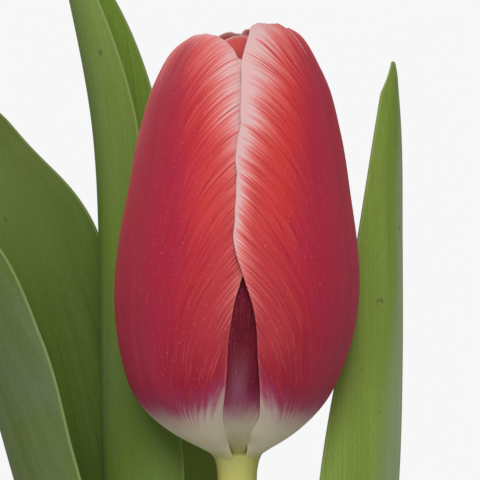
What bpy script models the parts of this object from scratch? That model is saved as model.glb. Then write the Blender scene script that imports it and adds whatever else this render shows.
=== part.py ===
"""A cut tulip standing in a small glazed vase, as separate solids.

Frame: +Z up, origin at the centre of the vase's underside, front towards -Y, right towards +X.
Driving dimensions are in millimetres and become metres where a mesh is made.
Bearings are degrees round the vertical, from the front (-Y) towards the right (+X).
"""

import bmesh
import bpy
import numpy as np

MM = 0.001
FIT_GAP = 0.3  # clear space kept between touching pieces

# Vase: outer radius at each height, from the foot to the lip
VASE_HEIGHT = 120.0
VASE_HEIGHTS = (1.5, 18.0, 42.0, 68.0, 88.0, 102.0, 112.0, 118.6)
VASE_RADII = (26.0, 31.2, 33.2, 29.6, 23.2, 20.4, 21.1, 22.7)
VASE_WALL = 3.0
VASE_FOOT_RADIUS = 24.6
VASE_FLOOR = 6.0
VASE_COVE = 4.0  # height above the floor up to which the inside of the wall rounds into it
VASE_STEPS = 36
LIP_EASE_RADIUS = 0.5  # the lip's edges are eased by this and by that much in height
LIP_EASE_HEIGHT = 0.4

# Water in the vase, and how far the cutter for the stem's way reaches past it
WATER_TOP = 52.0
WAY_BELOW = 4.0
WAY_ABOVE = 20.0

# Stem: stands on the vase's floor, leans to the middle of the neck and rises straight to the bloom
STEM_TOP = 200.0
STEM_FOOT = 7.0
STEM_RADIUS = 3.2
STEM_NECK_RADIUS = 2.8
RECEPTACLE_RADIUS = 3.5
STEM_LEAN_HEIGHT = 110.0
STEM_LEAN_X = 7.0
STEM_LEAN_Y = 4.0
STEM_STATIONS = (100.0, 180.0, 196.0, 198.6, STEM_TOP)  # heights above the foot where the radius is given
STEM_WIDTHS = (STEM_RADIUS, STEM_NECK_RADIUS + 0.1, STEM_NECK_RADIUS, 3.0, RECEPTACLE_RADIUS)
STEM_FOOT_FLARE = 0.2
STEM_BEVEL = 3  # how finely the stem's circle is divided

# Leaves: one row for each station along the keel, as
# x, y, z of the keel, bearing in plan that the inner face looks along (degrees from +X towards +Y),
# half of the blade's width laid flat, radius of the channel that the blade is bent to
LEAF_THICKNESS = 0.8
LEAF_LEAST_WIDTH = 0.8
LEAF_ROWS = 24
LEAF_COLUMNS = 12
LEAF_LEFT = (
    (-2.8, 2.0, 60, -15, 7.7, 4.4),
    (-5.2, 2.4, 80, -12, 10.0, 6.2),
    (-9.8, 2.6, 104, -6, 12.5, 9.0),
    (-13.6, 3.2, 120, 0, 14.0, 11.0),
    (-24.0, 10.0, 160, -4, 18.0, 13.5),
    (-33.2, 18.0, 196, -14, 22.5, 15.5),
    (-37.8, 20.6, 212, -18, 25.5, 16.5),
    (-43.9, 21.4, 227, -18, 26.5, 17.0),
    (-49.4, 20.0, 239, -18, 22.5, 14.5),
    (-54.0, 18.0, 248, -17, 14.5, 11.0),
    (-58.5, 16.0, 259, -16, 0.8, 5.0),
)
LEAF_TALL = (
    (-3.3, 2.9, 102, -40, 7.7, 4.4),
    (-6.2, 5.6, 120, -35, 9.5, 5.8),
    (-12.8, 12.0, 150, -25, 14.0, 8.5),
    (-17.3, 16.5, 175, -18, 18.5, 11.0),
    (-19.7, 20.4, 196, -14, 21.5, 11.8),
    (-20.4, 24.1, 210, -13, 17.0, 10.2),
    (-20.8, 25.9, 225, -12, 14.8, 9.5),
    (-22.3, 26.4, 250, -10, 13.0, 8.5),
    (-25.7, 26.5, 268, -10, 9.0, 7.0),
    (-30.4, 28.0, 286, -10, 0.8, 4.0),
)
LEAF_RIGHT = (
    (4.85, 1.07, 80, 190, 7.7, 4.4),
    (7.6, 1.8, 100, 188, 10.0, 6.2),
    (11.2, 2.8, 120, 184, 12.0, 8.0),
    (18.6, 5.5, 160, 174, 14.5, 10.5),
    (23.3, 9.0, 196, 168, 15.0, 10.5),
    (24.1, 12.0, 212, 166, 12.2, 9.0),
    (24.3, 13.0, 231, 166, 9.2, 8.0),
    (24.2, 13.0, 247, 168, 6.0, 6.0),
    (23.5, 13.0, 257.5, 168, 1.2, 4.0),
)

# Bloom: radius and height above the stem's top, up the outside of the closed outer petals
BLOOM_PROFILE = (
    (3.8, 0.4),
    (5.6, 1.4),
    (9.2, 3.6),
    (13.6, 7.9),
    (16.1, 14.3),
    (17.4, 23.0),
    (17.1, 29.8),
    (15.9, 38.0),
    (14.35, 46.6),
    (12.2, 53.8),
    (9.0, 59.0),
    (6.4, 60.9),
    (4.6, 61.7),
    (2.5, 62.2),
    (0.9, 62.4),
)
PETAL_THICKNESS = 0.6
PETAL_ROWS = 18
PETAL_COLUMNS = 12
# Half of a petal's angle round the bloom, at shares of its length from base to tip
PETAL_SHARES = (0.0, 0.1, 0.19, 0.3, 0.37, 0.455, 0.54, 0.67, 0.8, 0.92, 1.0)
RIGHT_HALF_ANGLES = (41.0, 47.5, 48.7, 53.2, 56.5, 62.3, 64.5, 65.7, 64.0, 61.5, 58.0)
LEFT_HALF_ANGLES = (42.0, 45.0, 46.4, 49.0, 52.5, 57.0, 58.5, 59.5, 59.5, 58.5, 55.0)
BACK_HALF_ANGLES = (41.0, 47.0, 50.0, 57.0, 61.0, 66.0, 67.0, 67.0, 66.0, 63.0, 58.0)
INNER_HALF_ANGLES = (46.0, 49.0, 51.0, 53.0, 54.0, 55.0, 55.0, 55.0, 54.0, 52.0, 44.0)
LEAN_HEIGHTS = (0.0, 3.0, 20.0, 62.0)  # the bloom's middle drifts to the right as it rises
LEAN_SHIFTS = (0.0, -0.4, 0.0, 0.8)
SPIRAL_LIFT = 0.75  # one margin of each outer petal stands out by this and the other lies in by it
INNER_RING_BASE = 0.9  # how far inside the outer petals the inner ones lie, at the base and above
INNER_RING_BODY = 2.25
FULL_STEP_HEIGHT = 10.0  # height in the bloom above which those offsets are full
LEAST_RADIUS = 1.2
SMALL_STEP = 0.001
TIP_DROP = 0.085  # share of a petal's length by which its margins end below its tip
# Each petal's bearing, half angles and share of the profile that its tip reaches
OUTER_PETALS = (
    ("outer_petal_right", 64.0, RIGHT_HALF_ANGLES, 0.95),
    ("outer_petal_left", -54.0, LEFT_HALF_ANGLES, 0.907),
    ("outer_petal_back", 188.0, BACK_HALF_ANGLES, 0.912),
)
INNER_PETALS = (
    ("inner_petal_front", 3.0, INNER_HALF_ANGLES, 0.975),
    ("inner_petal_back_right", 123.0, INNER_HALF_ANGLES, 0.99),
    ("inner_petal_back_left", -117.0, INNER_HALF_ANGLES, 0.99),
)

# Stamens and pistil, standing on the receptacle inside the bloom
STAMEN_COUNT = 6
STAMEN_FOOT_RING = 1.75
STAMEN_HEAD_RING = 6.2
STAMEN_HEIGHT = 22.0
STAMEN_BEND = 1.0
ANTHER_HEIGHT = 11.0
STAMEN_HEIGHTS = (FIT_GAP, STAMEN_BEND, 1.6, 6.0, ANTHER_HEIGHT, 12.0, 14.0, 17.5, 20.5, STAMEN_HEIGHT)
STAMEN_RADII = (0.35, 0.35, 0.38, 0.5, 0.6, 1.2, 1.45, 1.4, 1.1, 0.4)
PISTIL_PROFILE = (
    (0.95, 0.3),
    (0.95, 1.6),
    (1.9, 4.5),
    (2.7, 10.0),
    (2.5, 17.0),
    (1.9, 20.0),
    (3.0, 22.4),
    (1.6, 24.0),
)
PISTIL_STEPS = 16

PETAL_RED = (0.45, 0.035, 0.055)
INNER_RED = (0.30, 0.02, 0.04)
LEAF_GREEN = (0.12, 0.17, 0.06)
STEM_GREEN = (0.36, 0.36, 0.12)
GLAZE_WHITE = (0.80, 0.79, 0.75)
WATER_CLEAR = (0.75, 0.85, 0.85)
ANTHER_DARK = (0.05, 0.03, 0.06)
PISTIL_GREEN = (0.50, 0.55, 0.25)


def clear_scene():
    for obj in list(bpy.data.objects):
        bpy.data.objects.remove(obj, do_unlink=True)


def make_material(name, color, roughness, transmission=0.0):
    material = bpy.data.materials.new(name)
    material.use_nodes = True
    shader = material.node_tree.nodes["Principled BSDF"]
    shader.inputs["Base Color"].default_value = (*color, 1.0)
    shader.inputs["Roughness"].default_value = roughness
    shader.inputs["Metallic"].default_value = 0.0
    shader.inputs["Transmission Weight"].default_value = transmission
    material.diffuse_color = (*color, 1.0)
    return material


def through(stations, values, where):
    """A smooth curve through values at stations: cubic pieces whose slopes come from their neighbours."""
    stations = np.asarray(stations, float)
    values = np.asarray(values, float)
    where = np.asarray(where, float)
    slopes = np.gradient(values, stations, axis=0)
    low = np.clip(np.searchsorted(stations, where) - 1, 0, len(stations) - 2)
    span = stations[low + 1] - stations[low]
    t = (where - stations[low]) / span
    if values.ndim == 2:
        span = span[..., None]
        t = t[..., None]
    start = values[low] * (1 + 2 * t) * (1 - t) ** 2 + slopes[low] * span * t * (1 - t) ** 2
    end = values[low + 1] * t**2 * (3 - 2 * t) - slopes[low + 1] * span * t**2 * (1 - t)
    return start + end


def along(points):
    """Shares of the whole length at which a row of points lies, from 0 to 1."""
    steps = np.linalg.norm(np.diff(points, axis=0), axis=1)
    distance = np.concatenate([[0.0], np.cumsum(steps)])
    return distance / distance[-1]


def link(name, mesh, material):
    obj = bpy.data.objects.new(name, mesh)
    bpy.context.scene.collection.objects.link(obj)
    mesh.materials.append(material)
    return obj


def grid_sheet(name, grid, thickness, material):
    """A sheet through a grid of points, thickened to both sides, with its faces' front on the outside."""
    rows, columns = grid.shape[:2]
    mesh_builder = bmesh.new()
    flat = (grid.reshape(-1, 3) * MM).tolist()
    vertices = [mesh_builder.verts.new(point) for point in flat]
    for row in range(rows - 1):
        for column in range(columns - 1):
            corner = row * columns + column
            ring = (corner, corner + 1, corner + columns + 1, corner + columns)
            mesh_builder.faces.new([vertices[index] for index in ring])
    mesh = bpy.data.meshes.new(name)
    mesh_builder.to_mesh(mesh)
    mesh_builder.free()
    obj = link(name, mesh, material)
    solidify = obj.modifiers.new("thickness", "SOLIDIFY")
    solidify.thickness = thickness * MM
    solidify.offset = 0.0
    mesh.shade_smooth()
    return obj


def turned(name, profile, steps, material):
    """A solid turned round the vertical from a profile that runs down its outer side and back up inside."""
    mesh_builder = bmesh.new()
    vertices = [mesh_builder.verts.new((radius * MM, 0.0, height * MM)) for radius, height in profile]
    for first, second in zip(vertices, vertices[1:]):
        mesh_builder.edges.new((first, second))
    mesh = bpy.data.meshes.new(name)
    mesh_builder.to_mesh(mesh)
    mesh_builder.free()
    obj = link(name, mesh, material)
    screw = obj.modifiers.new("turn", "SCREW")
    screw.steps = steps
    screw.render_steps = steps
    screw.use_merge_vertices = True
    screw.merge_threshold = 0.00001
    screw.use_smooth_shade = True
    return obj


def rod(name, points, radii, sides, material):
    """A round rod along points with a radius at each, closed by flat caps at both ends."""
    curve = bpy.data.curves.new(name, "CURVE")
    curve.dimensions = "3D"
    curve.bevel_depth = MM
    curve.bevel_resolution = sides
    curve.use_fill_caps = True
    spline = curve.splines.new("POLY")
    spline.points.add(len(points) - 1)
    for target, point, radius in zip(spline.points, points, radii):
        target.co = (*(point * MM), 1.0)
        target.radius = radius
    return link(name, curve, material)


def vase_profile():
    """The outer side from the lip's crown down to the foot, the flat underside, then the inside from the
    axis up to the crown again."""
    heights = np.linspace(VASE_HEIGHTS[-1], VASE_HEIGHTS[0], 14)
    outer = through(VASE_HEIGHTS, VASE_RADII, heights)
    inner_heights = np.linspace(VASE_FLOOR + VASE_COVE, VASE_HEIGHTS[-1], 12)
    inner = through(VASE_HEIGHTS, VASE_RADII, inner_heights) - VASE_WALL
    crown = VASE_RADII[-1] - VASE_WALL / 2
    lip_edge = VASE_HEIGHT - LIP_EASE_HEIGHT
    profile = [(crown, VASE_HEIGHT)]
    profile += [(VASE_RADII[-1] - LIP_EASE_RADIUS, lip_edge)]
    profile += list(zip(outer, heights))
    profile += [(VASE_FOOT_RADIUS, 0.0), (0.0, 0.0)]
    profile += [(0.0, VASE_FLOOR), (inner[0] - 3.0, VASE_FLOOR), (inner[0] - 0.8, VASE_FLOOR + 1.4)]
    profile += list(zip(inner, inner_heights))
    profile += [(VASE_RADII[-1] - VASE_WALL + LIP_EASE_RADIUS, lip_edge), (crown, VASE_HEIGHT)]
    return profile


def water_profile():
    """Inside of the vase less the gap, from the water's surface down to the floor and in to the axis."""
    heights = np.linspace(WATER_TOP, VASE_FLOOR + VASE_COVE, 7)
    radii = through(VASE_HEIGHTS, VASE_RADII, heights) - VASE_WALL - 2 * FIT_GAP
    bottom = VASE_FLOOR + FIT_GAP
    profile = [(0.0, WATER_TOP)] + list(zip(radii, heights))
    profile += [(radii[-1] - 1.2, bottom + 1.4), (radii[-1] - 3.4, bottom), (0.0, bottom)]
    return profile


def stem_point(height):
    """Middle of the stem: a parabola that leans off the vase's axis below the neck and is upright above."""
    low = np.clip(1.0 - np.asarray(height, float) / STEM_LEAN_HEIGHT, 0.0, 1.0)
    return np.stack([STEM_LEAN_X * low**2, STEM_LEAN_Y * low**2, np.asarray(height, float)], axis=-1)


def stem_shape(foot, extra):
    """Points and radii of the stem, from its cut foot to the flared receptacle under the petals."""
    bent = np.linspace(foot, STEM_LEAN_HEIGHT, 10)
    upright = (128.0, 148.0, 168.0, 188.0, 193.0, 196.5, 198.4, STEM_TOP)
    heights = np.concatenate([bent, upright])
    widths = (STEM_RADIUS + STEM_FOOT_FLARE, *STEM_WIDTHS)
    return stem_point(heights), through((foot, *STEM_STATIONS), widths, heights) + extra


def make_vase(material):
    return turned("vase", vase_profile(), VASE_STEPS, material)


def make_stem(material):
    points, radii = stem_shape(STEM_FOOT, 0.0)
    return rod("stem", points, radii, STEM_BEVEL, material)


def make_water(material):
    """The water, with a way through it for the stem."""
    water = turned("water", water_profile(), VASE_STEPS, material)
    points, radii = stem_shape(VASE_FLOOR - WAY_BELOW, FIT_GAP + 0.1)
    inside = points[:, 2] < WATER_TOP + WAY_ABOVE
    guide = rod("stem_way_curve", points[inside], radii[inside], STEM_BEVEL, material)
    mesh = bpy.data.meshes.new_from_object(guide.evaluated_get(bpy.context.evaluated_depsgraph_get()))
    bpy.data.objects.remove(guide, do_unlink=True)
    cutter = link("stem_way", mesh, material)
    cutter.hide_render = True
    cutter.display_type = "WIRE"
    cut = water.modifiers.new("stem_way", "BOOLEAN")
    cut.operation = "DIFFERENCE"
    cut.solver = "EXACT"
    cut.object = cutter
    return water


def leaf_grid(stations):
    """The leaf's middle surface: across the keel it follows an arc of the channel's radius. The arc's middle
    stands off the keel on the side that the inner face looks to."""
    table = np.array(stations, float)
    shares = along(table[:, :3])
    v = np.linspace(0, 1, LEAF_ROWS)
    u = np.linspace(-1, 1, LEAF_COLUMNS)
    keel = through(shares, table[:, :3], v)
    bearing = np.radians(through(shares, table[:, 3], v))
    half_width = np.maximum(through(shares, table[:, 4], v), LEAF_LEAST_WIDTH)
    channel = through(shares, table[:, 5], v)
    tangent = np.gradient(keel, v, axis=0)
    tangent /= np.linalg.norm(tangent, axis=1, keepdims=True)
    inward = np.stack([np.cos(bearing), np.sin(bearing), np.zeros_like(bearing)], axis=1)
    inward -= tangent * (inward * tangent).sum(axis=1, keepdims=True)
    inward /= np.linalg.norm(inward, axis=1, keepdims=True)
    side = np.cross(tangent, inward)
    turn = u[None, :] * (half_width / channel)[:, None]
    across = (channel[:, None] * np.sin(turn))[..., None] * side[:, None]
    lift = (channel[:, None] * (1 - np.cos(turn)))[..., None] * inward[:, None]
    return keel[:, None] + across + lift


def make_leaf(name, stations, material):
    return grid_sheet(name, leaf_grid(stations), LEAF_THICKNESS, material)


def on_profile(share):
    """The radius and height of the bloom's outside at a share of its length from the base."""
    profile = np.array(BLOOM_PROFILE, float)
    shape = np.shape(share)
    return through(along(profile), profile, np.ravel(share)).reshape(*shape, 2)


def petal_grid(bearing, half_angles, tip, inner):
    """A petal's middle surface. Up the bloom's profile to a rounded tip, and round the bloom to both sides of
    its bearing by the half angle. Outer petals step out towards one margin and in towards the other."""
    v = np.linspace(0, 1, PETAL_ROWS)[:, None]
    u = np.linspace(-1, 1, PETAL_COLUMNS)[None, :]
    reach = tip * (1 - TIP_DROP * np.abs(u) ** 4)
    place = on_profile(v * reach)
    ahead = on_profile(v * reach + SMALL_STEP) - on_profile(v * reach - SMALL_STEP)
    ahead /= np.linalg.norm(ahead, axis=-1, keepdims=True)
    outward = np.stack([ahead[..., 1], -ahead[..., 0]], axis=-1)
    angle = np.radians(bearing + u * through(PETAL_SHARES, half_angles, v))
    rise = np.clip(place[..., 1] / FULL_STEP_HEIGHT, 0, 1)
    if inner:
        step = -(INNER_RING_BASE + (INNER_RING_BODY - INNER_RING_BASE) * rise)
    else:
        step = -SPIRAL_LIFT * rise * u**3
    place = place + outward * (step - PETAL_THICKNESS / 2)[..., None]
    radius = np.maximum(place[..., 0], LEAST_RADIUS)
    height = place[..., 1]
    drift = through(LEAN_HEIGHTS, LEAN_SHIFTS, height)
    return np.stack([radius * np.sin(angle) + drift, -radius * np.cos(angle), STEM_TOP + height], axis=-1)


def make_petals(outer_material, inner_material):
    for name, bearing, half_angles, tip in OUTER_PETALS:
        grid = petal_grid(bearing, half_angles, tip, False)
        grid_sheet(name, grid, PETAL_THICKNESS, outer_material)
    for name, bearing, half_angles, tip in INNER_PETALS:
        grid = petal_grid(bearing, half_angles, tip, True)
        grid_sheet(name, grid, PETAL_THICKNESS, inner_material)


def make_stamens(material):
    """Six stamens round the pistil, each a thin stalk that leans out and a long anther on it."""
    heights = np.array(STAMEN_HEIGHTS)
    spread = np.clip((heights - STAMEN_BEND) / (ANTHER_HEIGHT - STAMEN_BEND), 0, 1)
    reach = STAMEN_FOOT_RING + (STAMEN_HEAD_RING - STAMEN_FOOT_RING) * spread
    for index in range(STAMEN_COUNT):
        angle = np.radians(360.0 * index / STAMEN_COUNT)
        points = np.stack([reach * np.sin(angle), -reach * np.cos(angle), STEM_TOP + heights], axis=1)
        rod(f"stamen_{index + 1}", points, STAMEN_RADII, 1, material)


def make_pistil(material):
    profile = [(0.0, PISTIL_PROFILE[-1][1])] + list(reversed(PISTIL_PROFILE)) + [(0.0, PISTIL_PROFILE[0][1])]
    raised = [(radius, STEM_TOP + height) for radius, height in profile]
    return turned("pistil", raised, PISTIL_STEPS, material)


def main():
    clear_scene()
    green = make_material("leaf_green", LEAF_GREEN, 0.5)
    stalk = make_material("stem_green", STEM_GREEN, 0.5)
    make_vase(make_material("vase_glaze", GLAZE_WHITE, 0.15))
    make_water(make_material("water", WATER_CLEAR, 0.05, 0.9))
    make_stem(stalk)
    make_leaf("leaf_left", LEAF_LEFT, green)
    make_leaf("leaf_tall", LEAF_TALL, green)
    make_leaf("leaf_right", LEAF_RIGHT, green)
    make_petals(make_material("petal_red", PETAL_RED, 0.5), make_material("petal_inner_red", INNER_RED, 0.5))
    make_stamens(make_material("anther_dark", ANTHER_DARK, 0.8))
    make_pistil(make_material("pistil_green", PISTIL_GREEN, 0.5))


main()
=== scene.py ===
"""A cut tulip in a small glazed vase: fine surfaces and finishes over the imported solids.

Shapes are worked out in millimetres with numpy and become metres when their mesh is made.
Bearings are degrees round the stem, from the front (-Y) towards the right (+X). Heights in the
bloom are measured from the stem's top, where the petals begin.
"""
import math

import bpy
import numpy as np
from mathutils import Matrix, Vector


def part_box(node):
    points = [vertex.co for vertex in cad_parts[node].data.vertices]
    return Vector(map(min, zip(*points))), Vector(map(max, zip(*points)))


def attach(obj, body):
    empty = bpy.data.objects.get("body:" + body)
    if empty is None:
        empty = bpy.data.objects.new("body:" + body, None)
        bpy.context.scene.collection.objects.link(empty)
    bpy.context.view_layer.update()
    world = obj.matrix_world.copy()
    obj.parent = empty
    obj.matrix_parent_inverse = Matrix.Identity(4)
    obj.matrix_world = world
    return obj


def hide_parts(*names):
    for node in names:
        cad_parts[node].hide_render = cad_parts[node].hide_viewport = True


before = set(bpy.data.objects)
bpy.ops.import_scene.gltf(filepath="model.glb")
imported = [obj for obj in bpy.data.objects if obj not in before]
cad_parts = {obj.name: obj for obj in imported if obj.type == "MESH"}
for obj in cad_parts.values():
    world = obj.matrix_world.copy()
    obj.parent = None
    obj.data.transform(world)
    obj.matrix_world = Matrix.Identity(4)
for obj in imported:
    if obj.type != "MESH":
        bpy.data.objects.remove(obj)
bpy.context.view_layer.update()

MM = 0.001
BODY = "root"


def node_box(node):
    """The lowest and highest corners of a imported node, in millimetres."""
    low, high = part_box(node)
    return np.array(low) / MM, np.array(high) / MM


VASE_HIGH = node_box("vase")[1]
WATER_LOW, WATER_HIGH = node_box("water")
STEM_LOW, STEM_HIGH = node_box("stem")
BLOOM_BASE = STEM_HIGH[2]
BLOOM_MIDDLE = BLOOM_BASE + 30.9

CAMERA_DISTANCE = 287.0
CAMERA_ASIDE = 0.43
LENS = 150.0
SENSOR = 36.0
FLOOR_RADIUS = 1450.0


# ---------------------------------------------------------------------------
# Curves and meshes
# ---------------------------------------------------------------------------


def through(stations, values, where):
    """A smooth curve through values at stations: cubic pieces whose slopes come from their neighbours."""
    stations = np.asarray(stations, float)
    values = np.asarray(values, float)
    where = np.clip(np.asarray(where, float), stations[0], stations[-1])
    slopes = np.gradient(values, stations, axis=0)
    low = np.clip(np.searchsorted(stations, where) - 1, 0, len(stations) - 2)
    span = stations[low + 1] - stations[low]
    t = (where - stations[low]) / span
    if values.ndim == 2:
        span = span[..., None]
        t = t[..., None]
    start = values[low] * (1 + 2 * t) * (1 - t) ** 2 + slopes[low] * span * t * (1 - t) ** 2
    end = values[low + 1] * t**2 * (3 - 2 * t) - slopes[low + 1] * span * t**2 * (1 - t)
    return start + end


def ease(low, high, value):
    """0 below low and 1 above high, with a smooth step between."""
    t = np.clip((value - low) / (high - low), 0, 1)
    return t * t * (3 - 2 * t)


def along(points):
    """Shares of the whole length at which a row of points lies, and that length."""
    steps = np.linalg.norm(np.diff(points, axis=0), axis=1)
    distance = np.concatenate([[0.0], np.cumsum(steps)])
    return distance / distance[-1], distance[-1]


def unit(vectors):
    """The same directions with length 1."""
    return vectors / np.maximum(np.linalg.norm(vectors, axis=-1, keepdims=True), 1e-9)


def waves(value, seed, octaves=3):
    """A slow irregular wave from -1 to 1: a sum of sines, each about twice as fast and half as high."""
    total = np.zeros_like(value)
    for octave in range(octaves):
        rate = 1.93**octave
        total = total + np.sin(value * rate + seed * (1.7 + octave) + octave) / 2**octave
    return total / 1.75


def make_piece(name, points, quads, triangles, material, values):
    """A smooth mesh from points in millimetres, its faces, and one number for each point under each name."""
    mesh = bpy.data.meshes.new(name)
    mesh.vertices.add(len(points))
    mesh.vertices.foreach_set("co", (points * MM).astype(np.float32).ravel())
    corners = np.concatenate([quads.ravel(), triangles.ravel()]).astype(np.int32)
    starts = np.concatenate([np.arange(len(quads)) * 4, quads.size + np.arange(len(triangles)) * 3])
    mesh.loops.add(len(corners))
    mesh.loops.foreach_set("vertex_index", corners)
    mesh.polygons.add(len(starts))
    mesh.polygons.foreach_set("loop_start", starts.astype(np.int32))
    mesh.update(calc_edges=True)
    mesh.shade_smooth()
    for key, numbers in values.items():
        layer = mesh.attributes.new(key, "FLOAT", "POINT")
        layer.data.foreach_set("value", np.asarray(numbers, np.float32).ravel())
    mesh.materials.append(material)
    piece = bpy.data.objects.new(name, mesh)
    bpy.context.scene.collection.objects.link(piece)
    return piece


def stand_for(piece, node):
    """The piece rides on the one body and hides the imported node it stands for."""
    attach(piece, BODY)
    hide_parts(node)


def grid_quads(rows, columns):
    """Quads of a grid of points that is stored row by row."""
    corner = (np.arange(rows - 1)[:, None] * columns + np.arange(columns - 1)[None, :]).ravel()
    return np.stack([corner, corner + 1, corner + columns + 1, corner + columns], axis=1)


def rim_loop(rows, columns):
    """Indices of a grid's outline: along the first row, up the last column, back and down again."""
    first = np.arange(columns - 1)
    right = np.arange(rows - 1) * columns + columns - 1
    last = (rows - 1) * columns + np.arange(columns - 1, 0, -1)
    left = np.arange(rows - 1, 0, -1) * columns
    return np.concatenate([first, right, last, left])


def sheet_piece(name, middle, half_thickness, material, values):
    """A closed sheet: the middle surface moved both ways along its normal by half the thickness, with a
    rounded rim, which is one more loop that stands out between the two faces."""
    rows, columns = middle.shape[:2]
    normal = unit(np.cross(np.gradient(middle, axis=1), np.gradient(middle, axis=0)))
    outer = middle + normal * half_thickness[..., None]
    inner = middle - normal * half_thickness[..., None]
    away = np.zeros_like(middle)
    away[0] += middle[0] - middle[1]
    away[-1] += middle[-1] - middle[-2]
    away[:, 0] += middle[:, 0] - middle[:, 1]
    away[:, -1] += middle[:, -1] - middle[:, -2]
    edge = middle + unit(away) * half_thickness[..., None]
    loop = rim_loop(rows, columns)
    count = rows * columns
    points = np.concatenate([outer.reshape(-1, 3), inner.reshape(-1, 3), edge.reshape(-1, 3)[loop]])
    faces = grid_quads(rows, columns)
    onward = np.roll(loop, -1)
    rim = 2 * count + np.arange(len(loop))
    rim_onward = np.roll(rim, -1)
    near = np.stack([loop, rim, rim_onward, onward], axis=1)
    far = np.stack([count + loop, count + onward, rim_onward, rim], axis=1)
    quads = np.concatenate([faces, faces[:, ::-1] + count, near, far])
    painted = {}
    for key, numbers in values.items():
        flat = np.broadcast_to(numbers, (rows, columns)).ravel()
        painted[key] = np.concatenate([flat, flat, flat[loop]])
    painted["skin"] = np.concatenate([np.ones(count), -np.ones(count), np.zeros(len(loop))])
    return make_piece(name, points, quads, np.zeros((0, 3), int), material, painted)


def ring_piece(name, rings, material, values, closed=False):
    """A skin over rings of points, stored ring by ring and each turning anticlockwise seen from its outside
    end. Both ends close on a middle point, or closed joins the last ring to the first."""
    rows, steps = rings.shape[:2]
    row = np.arange(rows if closed else rows - 1)[:, None]
    step = np.arange(steps)[None, :]
    here = row * steps + step
    beside = row * steps + (step + 1) % steps
    above = (row + 1) % rows * steps + step
    corner = (row + 1) % rows * steps + (step + 1) % steps
    quads = np.stack([here, beside, corner, above], axis=-1).reshape(-1, 4)
    points = rings.reshape(-1, 3)
    triangles = np.zeros((0, 3), int)
    painted = {key: np.broadcast_to(numbers, (rows, steps)).ravel() for key, numbers in values.items()}
    if not closed:
        turn = np.arange(steps)
        onward = (turn + 1) % steps
        last = (rows - 1) * steps
        foot = np.stack([onward, turn, np.full(steps, rows * steps)], axis=1)
        head = np.stack([last + turn, last + onward, np.full(steps, rows * steps + 1)], axis=1)
        triangles = np.concatenate([foot, head])
        points = np.concatenate([points, [rings[0].mean(axis=0)], [rings[-1].mean(axis=0)]])
        painted = {key: np.append(flat, [flat[0], flat[-1]]) for key, flat in painted.items()}
    return make_piece(name, points, quads, triangles, material, painted)


def round_rings(middles, radii, steps, lobes=0.0, lobe_count=3):
    """Level rings round a line of middle points: radius 1 + lobes * cos(lobe_count * angle), times radii."""
    angle = np.linspace(0, 2 * np.pi, steps, endpoint=False)
    radius = np.asarray(radii)[:, None] * (1 + np.asarray(lobes) * np.cos(lobe_count * angle))
    flat = np.stack([radius * np.cos(angle), radius * np.sin(angle), np.zeros_like(radius)], axis=-1)
    return np.asarray(middles)[:, None] + flat


# ---------------------------------------------------------------------------
# Finishes
# ---------------------------------------------------------------------------


class Wire:
    """One output of a material's nodes. + - * / ** with wires or numbers add Math nodes."""

    def __init__(self, paint, socket):
        self.paint = paint
        self.socket = socket

    def __add__(self, other):
        return self.paint.maths("ADD", self, other)

    def __sub__(self, other):
        return self.paint.maths("SUBTRACT", self, other)

    def __rsub__(self, other):
        return self.paint.maths("SUBTRACT", other, self)

    def __mul__(self, other):
        return self.paint.maths("MULTIPLY", self, other)

    def __truediv__(self, other):
        return self.paint.maths("DIVIDE", self, other)

    def __pow__(self, other):
        return self.paint.maths("POWER", self, other)

    __radd__ = __add__
    __rmul__ = __mul__


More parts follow.
